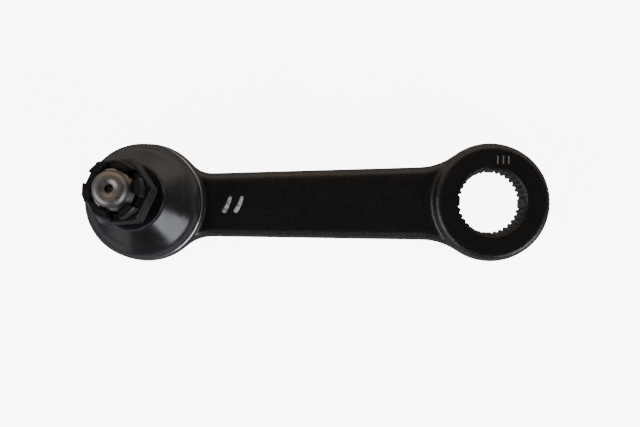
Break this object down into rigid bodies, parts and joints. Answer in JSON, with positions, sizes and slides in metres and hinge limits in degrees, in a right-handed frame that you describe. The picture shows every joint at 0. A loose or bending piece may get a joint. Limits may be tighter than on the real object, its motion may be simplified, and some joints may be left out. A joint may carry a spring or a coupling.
{
  "type": "pitman arm",
  "caption": "Forged steering arm with a tapered splined eye at one end and a booted ball joint with a tapered stud and castle nut at the other.",
  "frame": {"origin": "on the axis of the splined bore, on the plane that the arm lies on", "axes": "+X from the ball joint towards the splined eye, +Z the way the ball stud stands"},
  "size_m": [0.1884, 0.0486, 0.0829],
  "materials": {
    "painted_forging": "semi-gloss black paint over a forged skin",
    "machined_steel": "turned",
    "phosphated_steel": "black phosphate",
    "boot_rubber": "satin",
    "spring_steel": "oiled",
    "bearing_resin": "natural acetal"
  },
  "bodies": {
    "arm": {"arm": "painted_forging", "upper_bearing": "bearing_resin", "preload_spring": "spring_steel", "cover_plate": "phosphated_steel", "boot_ring": "spring_steel"},
    "seat": {"lower_bearing": "bearing_resin"},
    "boot": {"dust_boot": "boot_rubber"},
    "stud": {"ball_stud": "machined_steel", "castle_nut": "phosphated_steel"}
  },
  "joints": [
    {"name": "swivel", "type": "hinge", "parent": "arm", "child": "seat", "pos_m": [-0.14, 0, 0.01661], "axis": [0, 0, 1], "continuous": true},
    {"name": "tip", "type": "hinge", "parent": "seat", "child": "boot", "pos_m": [-0.14, 0, 0.01661], "axis": [-0.4695, -0.8829, 0], "range_deg": [-33, 15], "deforming": ["dust_boot"]},
    {"name": "spin", "type": "hinge", "parent": "boot", "child": "stud", "pos_m": [-0.14, 0, 0.01661], "axis": [-0.1381, 0.0734, 0.9877], "continuous": true}
  ]
}
